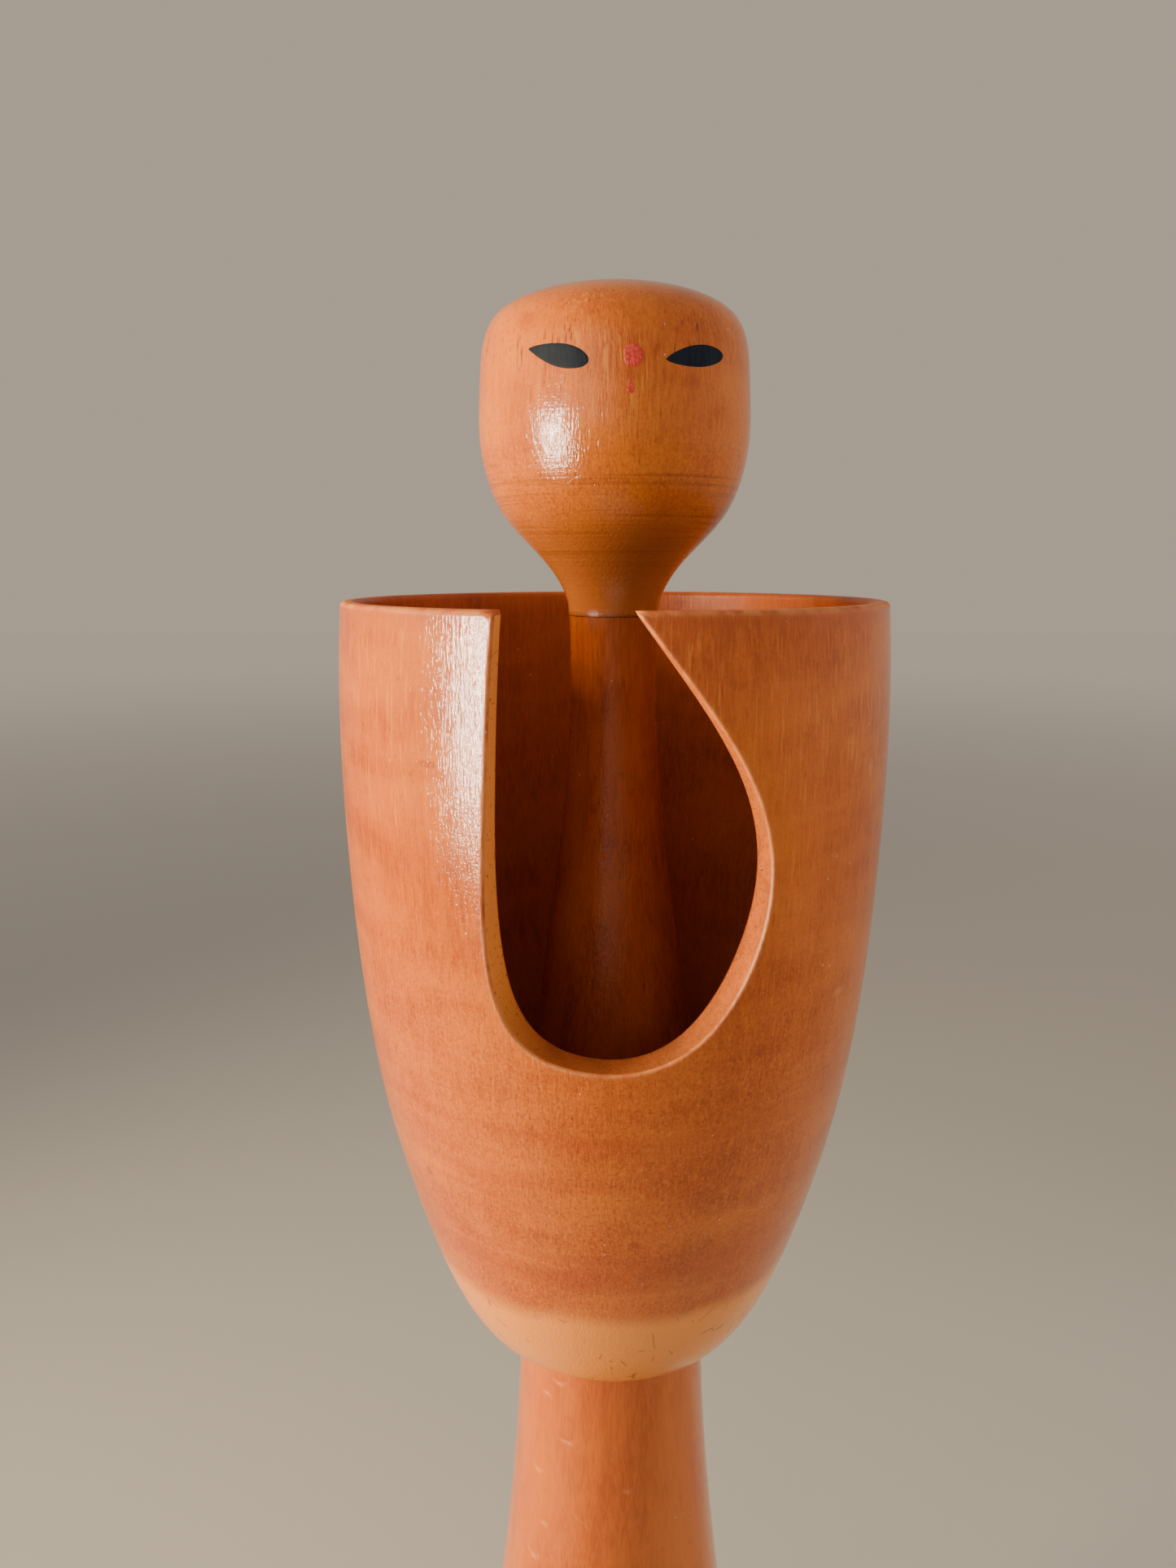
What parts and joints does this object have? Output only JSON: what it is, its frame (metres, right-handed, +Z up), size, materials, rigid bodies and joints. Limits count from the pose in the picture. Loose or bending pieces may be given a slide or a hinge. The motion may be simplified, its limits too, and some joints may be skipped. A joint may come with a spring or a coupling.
{
  "type": "turned wooden doll",
  "caption": "Turned wooden doll: rounded head that turns on a slender column inside an open-collared robe cup, on a flared pedestal.",
  "frame": {"origin": "centre of the pedestal's flat underside, on the axis that every piece is turned on", "axes": "+Z up along the turning axis, the face and the open collar look along -Y, +X to the viewer's right"},
  "size_m": [0.0848, 0.084, 0.3063],
  "materials": {
    "head_wood": "honey stain under satin lacquer, fine upright grain",
    "dowel_wood": "bare pale hardwood",
    "column_wood": "honey stain under satin lacquer, fine upright grain",
    "cup_wood": "orange stain under satin lacquer, pale at the foot, sanded matt at the collar's cut",
    "pedestal_wood": "orange-red stain under gloss lacquer"
  },
  "bodies": {
    "stand": {"pedestal": "pedestal_wood", "centre_dowel": "dowel_wood", "robe_cup": "cup_wood", "inner_column": "column_wood"},
    "head": {"head": "head_wood", "neck_dowel": "dowel_wood"}
  },
  "joints": [
    {"name": "head_turn", "type": "hinge", "parent": "stand", "child": "head", "pos_m": [0, 0, 0.258], "axis": [0, 0, 1], "continuous": true}
  ]
}
